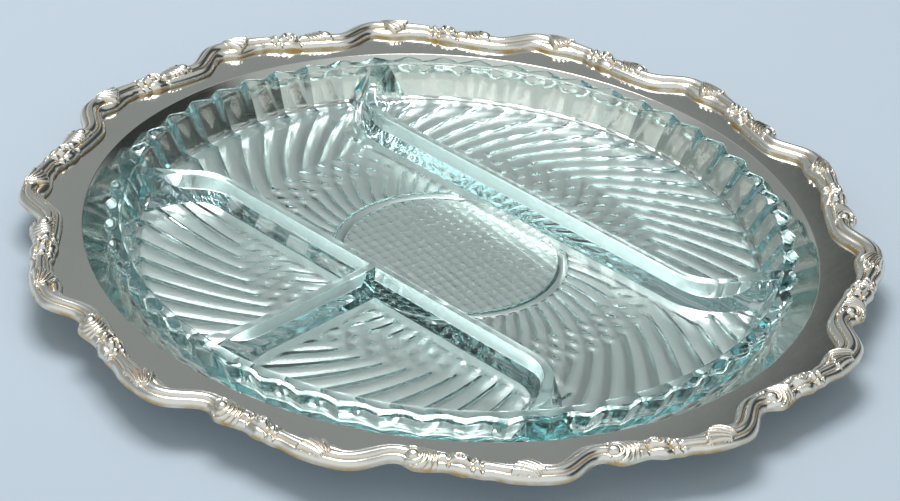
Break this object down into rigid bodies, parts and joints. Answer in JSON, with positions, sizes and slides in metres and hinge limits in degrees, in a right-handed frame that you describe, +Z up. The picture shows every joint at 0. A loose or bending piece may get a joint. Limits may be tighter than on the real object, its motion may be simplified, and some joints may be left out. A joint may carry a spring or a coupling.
{
  "type": "relish dish",
  "caption": "Round silver-plated tray with a cast scroll border, holding a divided relish insert of pressed glass that lifts out.",
  "frame": {"origin": "centre of the tray's flat underside, on the surface that it stands on", "axes": "+Z up; the two long dividers of the glass run along X; the short divider runs from the middle towards -Y"},
  "size_m": [0.3466, 0.3484, 0.0229],
  "materials": {
    "silver_plate": "polished silver plate",
    "pressed_glass": "fire-polished, pale aqua"
  },
  "bodies": {
    "tray": {"tray_pan": "silver_plate", "border_section_01": "silver_plate", "border_section_02": "silver_plate", "border_section_03": "silver_plate", "border_section_04": "silver_plate", "border_section_05": "silver_plate", "border_section_06": "silver_plate", "border_section_07": "silver_plate", "border_section_08": "silver_plate", "border_section_09": "silver_plate", "border_section_10": "silver_plate", "border_section_11": "silver_plate", "border_section_12": "silver_plate", "border_section_13": "silver_plate", "border_section_14": "silver_plate"},
    "insert": {"glass_insert": "pressed_glass"}
  },
  "joints": [
    {"name": "insert_lift", "type": "slide", "parent": "tray", "child": "insert", "axis": [0, 0, 1], "range_m": [0, 0.06]}
  ]
}
